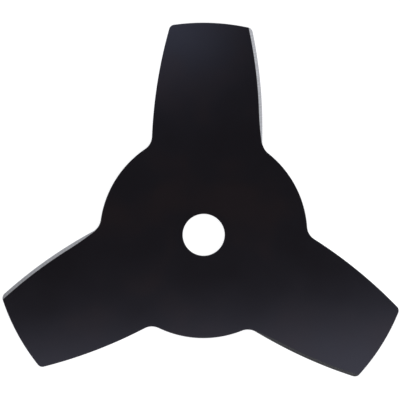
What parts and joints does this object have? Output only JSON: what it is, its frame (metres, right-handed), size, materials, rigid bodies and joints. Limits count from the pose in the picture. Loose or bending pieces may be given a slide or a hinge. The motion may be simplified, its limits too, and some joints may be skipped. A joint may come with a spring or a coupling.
{
  "type": "brush cutter blade",
  "caption": "Flat steel brush cutter blade: broad curved arms around a round hub, a plain round centre bore, and ground cutting edges along the arms.",
  "frame": {"origin": "centre of the bore, at mid thickness", "axes": "+Z along the bore, out of the top face; +Y along the middle of one arm"},
  "size_m": [0.2402, 0.2109, 0.0016],
  "materials": {
    "coated_steel": "satin"
  },
  "bodies": {
    "root": {"blade": "coated_steel"}
  },
  "joints": []
}
